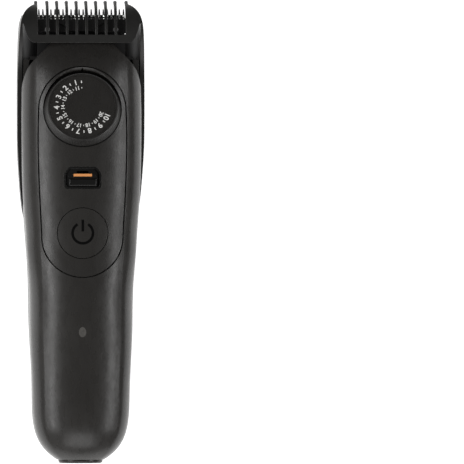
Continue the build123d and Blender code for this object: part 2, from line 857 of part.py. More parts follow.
with BuildPart() as release_slider:
    extrude(block(Plane.XY.offset(33.2), (-5.0, 16.3), (5.0, 20.95)), amount=1.0)
    fillet(release_slider.edges().filter_by(Axis.Z).group_by(Axis.Y)[-1], 1.3)
    extrude(block(Plane.XY.offset(33.2), (-5.0, 16.5), (5.0, 19.2)), amount=1.8)
    fillet(release_slider.edges().group_by(Axis.Z)[-1], 0.5)
    extrude(block(Plane.XY.offset(31), (-1.8, 17), (1.8, 20)), amount=2.4)
    extrude(block(Plane.XY.offset(34.0), (-3.3, 19.95), (3.3, 20.9)), amount=1, mode=Mode.SUBTRACT)
keep(release_slider.part, "release_slider")

with BuildPart() as release_mark:
    extrude(block(Plane.XY.offset(34.0), (-3.3, 19.95), (3.3, 20.9)), amount=0.3)
keep(release_mark.part, "release_mark")

with BuildPart() as release_latch:
    extrude(block(Plane.XY.offset(LATCH_Z), (-8, 16.5), (8, 19.5)), amount=1.4)
    for s in (1, -1):
        extrude(block(Plane.XY.offset(LATCH_Z), (s * 7.2 - 0.8, 19), (s * 7.2 + 0.8, 60.5)), amount=1.4)
    extrude(block(Plane.XY.offset(LATCH_Z), (-1.8, 17), (1.8, 19.5)), amount=31 - LATCH_Z)
keep(release_latch.part, "release_latch")

with BuildPart() as release_spring:
    with BuildLine() as coil:
        Helix(
            pitch=1.2,
            height=6.0,
            radius=1.3,
            center=(0, 19.75, LATCH_Z + 1.8),
            direction=(0, 1, 0),
        )
    with BuildSketch(Plane(origin=coil.line @ 0, z_dir=coil.line % 0)):
        Circle(0.22)
    sweep(is_frenet=True)
keep(release_spring.part, "release_spring")

# ---------------------------------------------------------------- power button

with BuildPart() as power_button:
    add(outer_form.part)
    add(inner_form.part, mode=Mode.SUBTRACT)
    add(above_seam.part, mode=Mode.INTERSECT)
    extrude(disc(Plane.XY, BUTTON_R, 0, BUTTON_Y), amount=60, mode=Mode.INTERSECT)
    extrude(disc(Plane.XY.offset(29.4), 2.0, 0, BUTTON_Y), amount=3.4)
keep(power_button.part, "power_button")

with BuildPart() as button_membrane:
    with BuildSketch(Plane.XY.offset(28.4)):
        with Locations((0, BUTTON_Y)):
            Circle(11.0)
            Circle(2.5, mode=Mode.SUBTRACT)
    extrude(amount=0.5)
keep(button_membrane.part, "button_membrane")

with BuildPart() as status_lens:
    with BuildSketch(Plane.XY.offset(26.6)):
        with Locations((0, LENS_Y)):
            Ellipse(LENS_W / 2, LENS_L / 2)
    extrude(amount=10)
    add(outer_form.part, mode=Mode.INTERSECT)
keep(status_lens.part, "status_lens")

# ---------------------------------------------------------------- electronics

with BuildPart() as circuit_board:
    with BuildSketch(Plane.XY.offset(BOARD_Z)):
        with Locations((0, -16)):
            RectangleRounded(25, 56, 2)
        with Locations(*BOARD_SCREWS):
            Circle(0.8, mode=Mode.SUBTRACT)
    extrude(amount=BOARD_T)
keep(circuit_board.part, "circuit_board")

with BuildPart() as board_components:
    top = Plane.XY.offset(BOARD_Z + BOARD_T)
    extrude(block(top, (-9, -22), (-3, -16)), amount=1.2)
    extrude(block(top, (2, -26), (7, -22)), amount=1.4)
    extrude(block(top, (3, -18), (9, -14)), amount=1.8)
    extrude(block(top, (-8, -30), (-4, -27)), amount=2.2)
    for i in range(4):
        extrude(block(top, (-9 + 3 * i, -11), (-7.4 + 3 * i, -10)), amount=0.6)
keep(board_components.part, "board_components")

with BuildPart() as tact_switch:
    extrude(block(top, (-3, BUTTON_Y - 3), (3, BUTTON_Y + 3)), amount=2.8)
    extrude(disc(top.offset(2.8), 1.7, 0, BUTTON_Y), amount=0.6)
keep(tact_switch.part, "tact_switch")

with BuildPart() as status_led:
    extrude(block(top, (-1, LENS_Y - 1), (1, LENS_Y + 1)), amount=0.9)
keep(status_led.part, "status_led")

with BuildPart() as board_screws:
    for x, y in BOARD_SCREWS:
        extrude(disc(top, 1.5, x, y), amount=0.9)
        extrude(disc(Plane.XY.offset(BOARD_Z - 1.4), 0.8, x, y), amount=BOARD_T + 1.4)
keep(board_screws.part, "board_screws")

with BuildPart() as battery_cell:
    extrude(disc(Plane.XZ.offset(10), BATTERY_R, 0, BATTERY_Z), amount=BATTERY_L)
    fillet(battery_cell.edges(), 0.6)
    extrude(disc(Plane.XZ.offset(9), 2.6, 0, BATTERY_Z), amount=1.2)
keep(battery_cell.part, "battery_cell")

with BuildPart() as battery_tabs:
    extrude(block(Plane.XZ.offset(8.7), (-3, BATTERY_Z - 3), (3, 20.4)), amount=0.3)
    extrude(block(Plane.XZ.offset(BATTERY_L + 10), (-3, BATTERY_Z - 3), (3, 20.4)), amount=0.3)
keep(battery_tabs.part, "battery_tabs")

with BuildPart() as battery_foam:
    extrude(block(Plane.XY.offset(19.5), (-5, -33.5), (5, -19)), amount=1.0)
keep(battery_foam.part, "battery_foam")

with BuildPart() as inner_chassis:
    extrude(block(Plane.XY.offset(20.6), (-14, -61), (14, 14)), amount=1.4)
    extrude(block(Plane.XY.offset(20.6), (-3, 14), (3, 27.4)), amount=1.4)
    extrude(block(Plane.XY.offset(20.6), (-3, 26.2), (3, 27.4)), amount=5.4)
    for s in (1, -1):
        extrude(block(Plane.XY.offset(20.6), (s * 11.5 - 3.3, 13), (s * 11.5 + 3.3, 20.5)), amount=1.4)
    for x, y in BOARD_SCREWS:
        extrude(disc(Plane.XY.offset(20.6), 1.8, x, y), amount=3.0)
    for y in (-54, -35, -16):
        extrude(block(Plane.XZ.offset(-y), (-9.5, 6), (9.5, 20.6)), amount=2)
    extrude(disc(Plane.XZ, BATTERY_R + FIT, 0, BATTERY_Z), amount=70, mode=Mode.SUBTRACT)
    for x, y in BOARD_SCREWS:
        extrude(disc(Plane.XY.offset(BOARD_Z - 1.4), 0.8, x, y), amount=2, mode=Mode.SUBTRACT)
    for s in (1, -1):
        extrude(disc(Plane.XY, SCREW_R, s * HIGH_SCREW[0], HIGH_SCREW[1]), amount=30, mode=Mode.SUBTRACT)
keep(inner_chassis.part, "inner_chassis")

# ---------------------------------------------------------------- motor

with BuildPart() as motor_can:
    extrude(motor_outline(24), amount=-22)
    fillet(motor_can.edges().group_by(Axis.Y)[-1], 0.8)
    extrude(disc(Plane.XZ.offset(-46), 3.0, 0, MOTOR_Z), amount=-1.2)
    extrude(disc(Plane.XZ.offset(-30), MOTOR_SHAFT_R + FIT, 0, MOTOR_Z), amount=-20, mode=Mode.SUBTRACT)
keep(motor_can.part, "motor_can")

with BuildPart() as motor_end_bell:
    extrude(motor_outline(22.4), amount=-1.6)
    extrude(disc(Plane.XZ.offset(-22.4), 3.0, 0, MOTOR_Z), amount=1.0)
keep(motor_end_bell.part, "motor_end_bell")

with BuildPart() as motor_terminals:
    for x in (-6, 6):
        extrude(block(Plane.XZ.offset(-22.4), (x - 1, MOTOR_Z - 0.3), (x + 1, MOTOR_Z + 0.3)), amount=2.4)
keep(motor_terminals.part, "motor_terminals")

with BuildPart() as motor_cradle:
    extrude(block(Plane.XZ.offset(-27), (-12.6, 4), (12.6, 16)), amount=-16)
    add(guide_hollow.part, mode=Mode.INTERSECT)
    extrude(motor_outline(20), amount=-30, mode=Mode.SUBTRACT)
keep(motor_cradle.part, "motor_cradle")

with BuildPart() as motor_shaft:
    extrude(disc(Plane.XZ.offset(-31), MOTOR_SHAFT_R, 0, MOTOR_Z), amount=-20)
keep(motor_shaft.part, "motor_shaft")

with BuildPart() as eccentric_cam:
    extrude(disc(Plane.XZ.offset(-49.2), 3.4, 0, MOTOR_Z), amount=-2.4)
    extrude(disc(Plane.XZ.offset(-51.6), 0.9, 0, MOTOR_Z + STROKE), amount=-5.2)
    extrude(disc(Plane.XZ.offset(-49), MOTOR_SHAFT_R, 0, MOTOR_Z), amount=-2, mode=Mode.SUBTRACT)
keep(eccentric_cam.part, "eccentric_cam")

# ---------------------------------------------------------------- cutter head

with BuildPart() as head_base:
    extrude(
        side_profile(
            [
                (71.2, 8.2),
                (71.2, 20.9),
                at_blade(-9.2, -0.9),
                at_blade(-8.0, -0.9),
                at_blade(-8.0, -2.1),
                at_blade(-1.6, -2.1),
                at_blade(-1.6, -3.2),
                (76.0, 10.8),
                (73.8, 8.3),
            ]
        ),
        amount=15.6,
        both=True,
    )
    extrude(
        side_profile(
            [(62.6, 20.8), (62.6, 23.4), (65.5, 23.2), (67.5, 21.6), (71.4, 21.3), (71.4, 20.8)]
        ),
        amount=8,
        both=True,
    )
    extrude(
        side_profile(
            [
                (71.0, 10.0),
                (71.0, 19.5),
                at_blade(-7.9, -1.5),
                at_blade(-3.8, -1.5),
                at_blade(-3.8, -5.5),
                (74.5, 10.0),
            ]
        ),
        amount=6.6,
        both=True,
        mode=Mode.SUBTRACT,
    )
    for s in (1, -1):
        seat = block(BLADE_PLANE.offset(-3.1), (s * 10 - 2, -7), (s * 10 + 2, -3))
        extrude(seat, amount=1.2, mode=Mode.SUBTRACT)
        extrude(disc(BLADE_PLANE, BLADE_SCREW_R, s * 12.3, -8.6), amount=-2.5, mode=Mode.SUBTRACT)
keep(head_base.part, "head_base")

with BuildPart() as neck_seal:
    extrude(block(Plane.XZ.offset(-70.7), (-13, 8.8), (13, 19.6)), amount=-0.5)
    extrude(block(Plane.XZ.offset(-70.7), (-7, 9.6), (7, 18.4)), amount=-0.5, mode=Mode.SUBTRACT)
keep(neck_seal.part, "neck_seal")

with BuildPart() as fixed_blade:
    extrude(toothed_edge(BLADE_W / 2, -3.6, -9.2, 0, TEETH, 0.9, 0.4), amount=-0.9)
    with BuildSketch(Plane.YZ):
        with BuildLine():
            Polyline(at_blade(-2.4, 0), at_blade(0.3, 0.1), at_blade(0.3, -0.62), close=True)
        make_face()
    extrude(amount=20, both=True, mode=Mode.SUBTRACT)
    for s in (1, -1):
        extrude(disc(BLADE_PLANE, BLADE_SCREW_R, s * 12.3, -8.6), amount=-1, mode=Mode.SUBTRACT)
keep(fixed_blade.part, "fixed_blade")

with BuildPart() as moving_blade:
    extrude(toothed_edge(14.5, -3.4, -7.6, -1.2, 20, 0.85, 0.5), amount=-1.8)
    extrude(block(BLADE_PLANE, (-20, -12), (20, 2)), amount=-0.95, mode=Mode.SUBTRACT)
keep(moving_blade.part, "moving_blade")

with BuildPart() as blade_frame:
    extrude(block(BLADE_PLANE, (-16.1, -9.2), (16.1, -4.3)), amount=0.5)
    for s in (1, -1):
        extrude(disc(BLADE_PLANE, BLADE_SCREW_R, s * 12.3, -8.6), amount=2, mode=Mode.SUBTRACT)
keep(blade_frame.part, "blade_frame")

with BuildPart() as head_cover:
    with BuildSketch(BLADE_PLANE.offset(0.5)):
        with BuildLine():
            for s in (1, -1):
                Spline([(s * 9.2, -4.5), (s * 8.0, -5.8), (s * 5.4, -7.6), (s * 4.0, -9.1)])
            Line((-9.2, -4.5), (9.2, -4.5))
            Line((-4.0, -9.1), (4.0, -9.1))
        make_face()
    extrude(amount=0.7)
keep(head_cover.part, "head_cover")

with BuildPart() as blade_screws:
    for s in (1, -1):
        extrude(disc(BLADE_PLANE.offset(0.5), 0.9, s * 12.3, -8.3), amount=0.4)
        extrude(disc(BLADE_PLANE.offset(-2.0), BLADE_SCREW_R, s * 12.3, -8.6), amount=2.5)
keep(blade_screws.part, "blade_screws")

with BuildPart() as blade_springs:
    for s in (1, -1):
        extrude(block(BLADE_PLANE.offset(-3.1), (s * 10 - 1.6, -6.8), (s * 10 + 1.6, -3.2)), amount=0.3)
        extrude(disc(BLADE_PLANE.offset(-2.9), 1.0, s * 10, -5), amount=0.78, taper=20)
keep(blade_springs.part, "blade_springs")

with BuildPart() as drive_fork:
    extrude(
        side_profile(
            [at_blade(-7.2, -1.8), at_blade(-4.2, -1.8), at_blade(-4.2, -4.6), at_blade(-7.2, -4.6)]
        ),
        amount=4.5,
        both=True,
    )
    extrude(
        side_profile(
            [
                (57.3, 9.8),
                (57.3, 14.6),
                (61, 14.8),
                (71.0, 17.0),
                at_blade(-7.2, -4.0),
                at_blade(-4.6, -4.6),
                (73.0, 14.2),
                (61, 10.2),
            ]
        ),
        amount=4.2,
        both=True,
    )
    extrude(block(Plane.XZ.offset(-53), (-4.2, 9.8), (4.2, 14.6)), amount=-4.5)
    extrude(block(Plane.XZ.offset(-53), (-3.0, 9.0), (3.0, 15)), amount=-4.3, mode=Mode.SUBTRACT)
keep(drive_fork.part, "drive_fork")
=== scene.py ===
"""Looks of the beard trimmer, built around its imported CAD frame.

+Y points towards the head and +Z out of the front. Lengths multiplied by MM are in metres, as are
those of the floor, lamps and camera. The other bare lengths are in millimetres.
"""

import json
import math

import bpy
from mathutils import Matrix, Vector
from mathutils.bvhtree import BVHTree


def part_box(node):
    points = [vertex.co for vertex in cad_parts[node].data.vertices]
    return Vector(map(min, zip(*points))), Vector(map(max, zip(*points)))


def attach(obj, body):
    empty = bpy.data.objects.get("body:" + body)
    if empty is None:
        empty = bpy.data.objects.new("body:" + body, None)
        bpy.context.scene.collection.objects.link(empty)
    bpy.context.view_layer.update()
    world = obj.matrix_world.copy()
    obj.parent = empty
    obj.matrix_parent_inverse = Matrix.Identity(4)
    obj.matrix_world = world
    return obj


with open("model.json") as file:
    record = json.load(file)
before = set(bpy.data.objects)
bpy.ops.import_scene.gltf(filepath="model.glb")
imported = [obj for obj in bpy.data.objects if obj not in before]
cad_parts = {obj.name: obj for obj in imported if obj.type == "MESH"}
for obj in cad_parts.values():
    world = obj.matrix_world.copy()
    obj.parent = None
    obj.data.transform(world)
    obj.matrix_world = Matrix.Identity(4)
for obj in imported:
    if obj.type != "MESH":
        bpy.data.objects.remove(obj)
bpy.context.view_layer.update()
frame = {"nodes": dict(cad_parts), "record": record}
MM = 0.001

# ---------------------------------------------------------------- dimensions

INK = 0.02 * MM  # how far printed ink stands off what it is printed on

DIAL_BASE = Vector((0.0, 43.82, 30.2)) * MM
DIAL_TILT = math.radians(18.0)
DIAL_MATRIX = Matrix.Translation(DIAL_BASE) @ Matrix.Rotation(-DIAL_TILT, 4, "X")
DIAL_FACE_TOP = 3.9 * MM
SKIRT_LOW = (13.68, 1.15)  # radius and height of the knurled skirt's lower rim
SKIRT_HIGH = (12.66, 3.7)
KNURLS = 120
NUMBERS = 10  # in each ring
FIRST_NUMBER = 15.0  # degrees anticlockwise from the top of the dial
NUMBER_STEP = 25.7  # degrees
OUTER_RING = 9.4  # radius of the ring of 1 to 10
OUTER_DIGITS = 1.9  # their height
OUTER_TICK = (0.36, 0.95)  # width and length
INNER_RING = 7.15  # the same for 11 to 20
INNER_DIGITS = 1.35
INNER_TICK = (0.24, 0.5)

BLADE_ORIGIN = Vector((0.0, 80.4, 19.5)) * MM
BLADE_TILT = math.radians(20.0)
BLADE_MATRIX = Matrix.Translation(BLADE_ORIGIN) @ Matrix.Rotation(-BLADE_TILT, 4, "X")
TEETH = 22
TOOTH_PITCH = 1.45
FACETS = ((-2.85, 0.33, 0.36), (-3.95, 0.2, 0.16))  # middle along the tooth and half sizes
FACET_SLOPE = math.tan(BLADE_TILT)  # which makes their ridges level
RIDGE_SLOPE = math.tan(math.radians(21.5))  # of the two sides of a ridge

TINES = [side * x for x in (1.755, 5.265, 8.775, 12.285, 16.3) for side in (-1, 1)]  # their X
BEAD_R = 0.68
BEAD_STRETCH = 1.25  # a bead's height over its width
BEAD_CENTRE = (82.6, 16.6)  # Y and Z

BUTTON_CENTRE = (0.0, -0.4)
SYMBOL_R = 3.67  # radius and width of the stroke
SYMBOL_W = 0.94
SYMBOL_GAP = 31.0  # half the gap at the top, in degrees
BAR_LOW = 0.6  # lower end of the bar, above the middle of the ring
BAR_LENGTH = 4.2

# ---------------------------------------------------------------- materials

COLOUR_A = 6  # sockets of a mix node that works on colours
COLOUR_B = 7
COLOUR_RESULT = 2


class Shader:
    """A principled material with short calls for the nodes used here."""

    def __init__(self, name):
        self.material = bpy.data.materials.new(name)
        self.material.use_nodes = True
        self.tree = self.material.node_tree
        self.bsdf = self.tree.nodes["Principled BSDF"]
        self.place = self.node("ShaderNodeTexCoord").outputs["Object"]

    def node(self, kind, **settings):
        made = self.tree.nodes.new(kind)
        for key, value in settings.items():
            setattr(made, key, value)
        return made

    def link(self, source, target):
        self.tree.links.new(source, target)

    def stretched(self, scale):
        """Object coordinates scaled along each axis."""
        mapping = self.node("ShaderNodeMapping")
        mapping.inputs["Scale"].default_value = scale
        self.link(self.place, mapping.inputs["Vector"])
        return mapping.outputs["Vector"]

    def noise(self, size, detail=2.0, scale=(1, 1, 1)):
        """Noise whose blobs are about size metres across."""
        made = self.node("ShaderNodeTexNoise")
        made.inputs["Scale"].default_value = 1.0 / size
        made.inputs["Detail"].default_value = detail
        self.link(self.stretched(scale), made.inputs["Vector"])
        return made.outputs["Fac"]

    def ramp(self, value, low, high, start=0.3, end=0.7):
        """Value from low to high as the input goes from start to end."""
        made = self.node("ShaderNodeMapRange")
        made.inputs["From Min"].default_value = start
        made.inputs["From Max"].default_value = end
        made.inputs["To Min"].default_value = low
        made.inputs["To Max"].default_value = high
        self.link(value, made.inputs["Value"])
        return made.outputs["Result"]

    def mix(self, factor, first, second):
        """Blend of two colours, each a tuple or another node's output."""
        made = self.node("ShaderNodeMix", data_type="RGBA")
        self.link(factor, made.inputs["Factor"])
        for socket, colour in ((COLOUR_A, first), (COLOUR_B, second)):
            if isinstance(colour, tuple):
                made.inputs[socket].default_value = (*colour, 1.0)
            else:
                self.link(colour, made.inputs[socket])
        return made.outputs[COLOUR_RESULT]

    def edges(self, radius):
        """Normals rounded over the edges, and a mask that is 1 on the edges."""
        bevel = self.node("ShaderNodeBevel", samples=6)
        bevel.inputs["Radius"].default_value = radius
        geometry = self.node("ShaderNodeNewGeometry")
        dot = self.node("ShaderNodeVectorMath", operation="DOT_PRODUCT")
        self.link(bevel.outputs["Normal"], dot.inputs[0])
        self.link(geometry.outputs["Normal"], dot.inputs[1])
        return bevel.outputs["Normal"], self.ramp(dot.outputs["Value"], 1.0, 0.0, 0.8, 0.99)

    def bump(self, height, strength, distance, normal=None):
        """Relief up to distance metres high, on top of another normal if there is one."""
        made = self.node("ShaderNodeBump")
        made.inputs["Strength"].default_value = strength
        made.inputs["Distance"].default_value = distance
        self.link(height, made.inputs["Height"])
        if normal is not None:
            self.link(normal, made.inputs["Normal"])
        self.link(made.outputs["Normal"], self.bsdf.inputs["Normal"])

    def set(self, **values):
        """Uniform values of the principled node's sockets."""
        for key, value in values.items():
            self.bsdf.inputs[key.replace("_", " ")].default_value = value


def scaled(colour, factor):
    return tuple(c * factor for c in colour)


def plastic(name, colour, rough, relief=0.25, edge_wear_and_highlight=1.5, edge=0.12 * MM):
    """Moulded plastic: spark-eroded grain, cloudy tone, dust-scuffed gloss and lighter edges,
    partly wear and partly a painted highlight.
    """
    grain = 0.16 * MM
    s = Shader(name)
    normal, edge_mask = s.edges(edge)
    cloud = s.noise(9 * MM, detail=4.0)
    speck = s.noise(grain, detail=3.0)
    scuff = s.noise(2.2 * MM, detail=6.0, scale=(1, 0.35, 1))
    tone = s.mix(s.ramp(cloud, 0, 1), scaled(colour, 0.9), scaled(colour, 1.1))
    tone = s.mix(s.ramp(speck, 0, 0.35), tone, scaled(colour, 1.25))
    # edges lightened: partly wear, partly a painted highlight where the edges catch the light
    tone = s.mix(s.ramp(edge_mask, 0, 0.5, 0, 1), tone, scaled(colour, edge_wear_and_highlight))
    s.link(tone, s.bsdf.inputs["Base Color"])
    s.link(s.ramp(scuff, rough - 0.03, rough + 0.05), s.bsdf.inputs["Roughness"])
    s.set(Specular_IOR_Level=0.4)
    s.bump(speck, strength=relief, distance=0.02 * MM, normal=normal)
    return s


def metal(name, colour, rough, along=(1, 1, 1), edge_wear_and_highlight=1.15):
    """Ground or drawn metal: fine parallel scratches, stains and bright edges, partly wear and
    partly a painted highlight.
    """
    s = Shader(name)
    normal, edge_mask = s.edges(0.06 * MM)
    lines = s.noise(0.12 * MM, detail=3.0, scale=along)
    stain = s.noise(3 * MM, detail=3.0)
    tone = s.mix(s.ramp(stain, 0, 1), scaled(colour, 0.86), colour)
    tone = s.mix(s.ramp(lines, 0, 0.4), tone, scaled(colour, 0.7))
    # edges lightened: partly wear, partly a painted highlight
    tone = s.mix(s.ramp(edge_mask, 0, 0.6, 0, 1), tone, tuple(min(1.0, c * edge_wear_and_highlight) for c in colour))
    s.link(tone, s.bsdf.inputs["Base Color"])
    s.link(s.ramp(lines, rough - 0.06, rough + 0.1), s.bsdf.inputs["Roughness"])
    s.set(Metallic=1.0)
    s.bump(lines, strength=0.2, distance=0.01 * MM, normal=normal)
    return s


def rubber(name, colour):
    """Soft seal: dull, slightly bloomed, with a faint moulded texture."""
    s = Shader(name)
    bloom = s.noise(1.5 * MM, detail=5.0)
    tone = s.mix(s.ramp(bloom, 0, 1), colour, scaled(colour, 1.7))
    s.link(tone, s.bsdf.inputs["Base Color"])
    s.link(s.ramp(bloom, 0.65, 0.85), s.bsdf.inputs["Roughness"])
    s.bump(s.noise(0.3 * MM), strength=0.3, distance=0.02 * MM)
    return s


def foam(name, colour):
    """Closed-cell foam: small round cells in relief, each cell's hollow darkened with painted
    shade.
    """
    s = Shader(name)
    cells = s.node("ShaderNodeTexVoronoi")
    cells.inputs["Scale"].default_value = 1 / (0.4 * MM)
    s.link(s.place, cells.inputs["Vector"])
    depth = s.ramp(cells.outputs["Distance"], 0, 1, 0, 0.7)
    # darker towards the bottom of each cell's hollow: painted shade
    tone = s.mix(depth, scaled(colour, 0.5), scaled(colour, 1.2))
    s.link(tone, s.bsdf.inputs["Base Color"])
    s.link(s.ramp(depth, 0.7, 0.95, 0, 1), s.bsdf.inputs["Roughness"])
    s.bump(depth, strength=0.6, distance=0.05 * MM)
    return s


def ink(name, colour, gloss=0.5):
    """Pad-printed ink: thin, slightly uneven and porous at its scale."""
    s = Shader(name)
    patch = s.noise(0.35 * MM, detail=4.0)
    tone = s.mix(s.ramp(patch, 0, 1), scaled(colour, 0.82), colour)
    s.link(tone, s.bsdf.inputs["Base Color"])
    s.link(s.ramp(patch, 0.4, 0.6), s.bsdf.inputs["Roughness"])
    s.set(Specular_IOR_Level=gloss)
    s.bump(s.noise(0.12 * MM), strength=0.15, distance=0.01 * MM)
    return s


def board(name):
    """Green solder mask over copper tracks, with a faint glass weave."""
    s = Shader(name)
    tracks = s.node("ShaderNodeTexBrick", offset=0.37)
    tracks.inputs["Scale"].default_value = 1 / (2.4 * MM)
    tracks.inputs["Mortar Size"].default_value = 0.06
    s.link(s.place, tracks.inputs["Vector"])
    weave = s.noise(0.2 * MM, detail=1.0, scale=(1, 0.4, 1))
    mask = s.mix(s.ramp(weave, 0, 1), (0.008, 0.07, 0.025), (0.012, 0.1, 0.035))
    tone = s.mix(tracks.outputs["Fac"], mask, (0.05, 0.2, 0.06))
    s.link(tone, s.bsdf.inputs["Base Color"])
    s.link(s.ramp(weave, 0.2, 0.35), s.bsdf.inputs["Roughness"])
    s.bump(tracks.outputs["Fac"], strength=0.3, distance=0.03 * MM)
    return s


def clear(name):
    """Smoked clear plastic of the light window."""
    s = Shader(name)
    haze = s.noise(0.8 * MM, detail=4.0)
    tone = s.mix(s.ramp(haze, 0, 1), (0.085, 0.082, 0.077), (0.12, 0.115, 0.108))
    s.link(tone, s.bsdf.inputs["Base Color"])
    s.link(s.ramp(haze, 0.12, 0.22), s.bsdf.inputs["Roughness"])
    s.set(Transmission_Weight=0.25, IOR=1.49)
    s.bump(haze, strength=0.05, distance=0.02 * MM)
    return s


def pale_floor():
    """Pale studio floor with the faintest mottling."""
    s = Shader("studio_floor")
    mottle = s.noise(60 * MM, detail=3.0)
    tone = s.mix(s.ramp(mottle, 0, 1), (0.9, 0.9, 0.9), (0.93, 0.93, 0.93))
    s.link(tone, s.bsdf.inputs["Base Color"])
    s.link(s.ramp(mottle, 0.7, 0.8), s.bsdf.inputs["Roughness"])
    s.set(Emission_Color=(1, 1, 1, 1), Emission_Strength=0.75)
    s.bump(s.noise(1 * MM), strength=0.05, distance=0.01 * MM)
    return s


HOUSING = (0.018, 0.0168, 0.0155)
FINISHES = {
    "housing": plastic("housing_plastic", HOUSING, rough=0.27),
    "panel": plastic("panel_plastic", scaled(HOUSING, 0.96), rough=0.27),
    "dial": plastic("dial_plastic", scaled(HOUSING, 0.75), rough=0.3),
    # the comb's edges are painted much lighter: a painted highlight along the plate's edges
    "comb": plastic(
        "comb_plastic", (0.013, 0.0128, 0.0122), rough=0.34, relief=0.08, edge_wear_and_highlight=6.0, edge=0.3 * MM
    ),
    "trim": plastic("gloss_trim", (0.002, 0.002, 0.002), rough=0.14, relief=0.04, edge_wear_and_highlight=2.0),
    "frame": plastic("frame_plastic", (0.003, 0.003, 0.003), rough=0.45),
    "inner": plastic("inner_plastic", (0.16, 0.16, 0.165), rough=0.5),
    "natural": plastic("natural_acetal", (0.68, 0.66, 0.6), rough=0.38, edge_wear_and_highlight=1.1),
    "cell": plastic("cell_sleeve", (0.02, 0.16, 0.09), rough=0.22, relief=0.05),
    "chips": plastic("chip_moulding", (0.012, 0.012, 0.013), rough=0.5),
    # steel colour darkened: a painted dark reflection of the blades' dark surroundings
    "blade": metal("blade_steel_painted_dark", (0.12, 0.12, 0.125), rough=0.25, along=(0.06, 1, 1), edge_wear_and_highlight=1.6),
    "steel": metal("plated_steel", (0.55, 0.55, 0.56), rough=0.3),
    "brass": metal("brass", (0.75, 0.53, 0.24), rough=0.28),
    "tin": metal("tinned_strip", (0.7, 0.7, 0.69), rough=0.25, along=(1, 1, 0.1)),
    "rubber": rubber("seal_rubber", (0.012, 0.012, 0.012)),
    "foam": foam("closed_cell_foam", (0.05, 0.05, 0.052)),
    "board": board("board_mask"),
    "lens": clear("smoked_lens"),
    "mark": ink("orange_ink", (0.80, 0.33, 0.10)),
}
WHITE_INK = ink("white_ink", (0.86, 0.86, 0.84))
GROUND_STEEL = metal("ground_steel", (0.95, 0.95, 0.93), rough=0.36)
BLACK_INK = ink("black_ink", (0.0025, 0.0025, 0.0025), gloss=0.05)

for part in frame["record"]["subparts"]:
    finish = FINISHES[part["material_slot"]].material
    mesh = frame["nodes"][part["node"]].data
    if not mesh.materials:
        mesh.materials.append(finish)
    for i in range(len(mesh.materials)):
        mesh.materials[i] = finish

# ---------------------------------------------------------------- detail pieces


def piece(name, points, faces, finish, body):
    """A mesh piece in the row's frame that rides on a body."""
    mesh = bpy.data.meshes.new(name)
    mesh.from_pydata([tuple(p) for p in points], [], faces)
    mesh.validate()
    mesh.materials.append(finish.material)
    made = bpy.data.objects.new(name, mesh)
    bpy.context.scene.collection.objects.link(made)
    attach(made, body)
    return made


def on_dial(x, y, height):
    """A place on the dial, from millimetres in its tilted plane."""
    return DIAL_MATRIX @ (Vector((x, y, height)) * MM)


def knurled_skirt():
    """Fine ridges all round the dial's sloping skirt, each a closed three-sided bar."""
    proud = 0.15
    sunk = 0.08
    half = 0.2  # half a bar's width
    rise = 0.4  # of a bar's edges for each millimetre out
    points = []
    faces = []
    for i in range(KNURLS):
        turn = 2 * math.pi * (i + 0.5) / KNURLS
        out = Vector((math.cos(turn), math.sin(turn)))
        side = Vector((-out.y, out.x))
        first = len(points)
        for radius, height in (SKIRT_LOW, SKIRT_HIGH):
            for reach, offset in ((-sunk, -half), (proud, 0), (-sunk, half)):
                spot = out * (radius + reach) + side * offset
                points.append(on_dial(spot.x, spot.y, height + rise * reach))
        for a, b in ((0, 1), (1, 2), (2, 0)):
            faces.append((first + a, first + b, first + b + 3, first + a + 3))
        faces.append((first + 2, first + 1, first))
        faces.append((first + 3, first + 4, first + 5))
    piece("dial_knurls", points, faces, FINISHES["dial"], "dial")


def glyph(text, height):
    """Flat outline mesh of a number, centred, with digits of this height in mm."""
    cap_height = 0.7  # of the built-in font, as a share of its size
    boldness = 0.035
    curve = bpy.data.curves.new("glyph", "FONT")
    curve.body = text
    curve.align_x = "CENTER"
    curve.size = height / cap_height
    curve.offset = boldness * height
    curve.space_character = 0.95
    curve.resolution_u = 4
    holder = bpy.data.objects.new("glyph", curve)
    bpy.context.scene.collection.objects.link(holder)
    graph = bpy.context.evaluated_depsgraph_get()
    mesh = bpy.data.meshes.new_from_object(holder.evaluated_get(graph))
    points = [Vector((v.co.x, v.co.y)) for v in mesh.vertices]
    middle = (min(p.y for p in points) + max(p.y for p in points)) / 2
    points = [Vector((p.x, p.y - middle)) for p in points]
    faces = [tuple(f.vertices) for f in mesh.polygons]
    bpy.data.objects.remove(holder)
    bpy.data.curves.remove(curve)
    bpy.data.meshes.remove(mesh)
    return points, faces


def dial_print():
    """Outer ring 1 to 10 and inner ring 11 to 20, with a tick at each half step."""
    points = []
    faces = []
    top = (DIAL_FACE_TOP + INK) / MM

    def stamp(outline, polygons, angle, radius):
        turn = Matrix.Rotation(math.radians(angle), 2)
        first = len(points)
        for p in outline:
            spot = turn @ Vector((p.x, p.y + radius))
            points.append(on_dial(spot.x, spot.y, top))
        faces.extend(tuple(first + i for i in polygon) for polygon in polygons)

    def tick(angle, radius, width, length):
        corners = [(-1, -1), (1, -1), (1, 1), (-1, 1)]
        bar = [Vector((x * width / 2, y * length / 2)) for x, y in corners]
        stamp(bar, [(0, 1, 2, 3)], angle, radius)

    for i in range(NUMBERS):
        angle = FIRST_NUMBER + NUMBER_STEP * i
        stamp(*glyph(str(i + 1), OUTER_DIGITS), angle, OUTER_RING)
        stamp(*glyph(str(i + 1 + NUMBERS), INNER_DIGITS), angle, INNER_RING)
        tick(angle - NUMBER_STEP / 2, OUTER_RING, *OUTER_TICK)
        tick(angle - NUMBER_STEP / 2, INNER_RING, *INNER_TICK)
    piece("dial_numbers", points, faces, WHITE_INK, "dial")


surfaces = {}  # search trees of the CAD nodes that are printed on


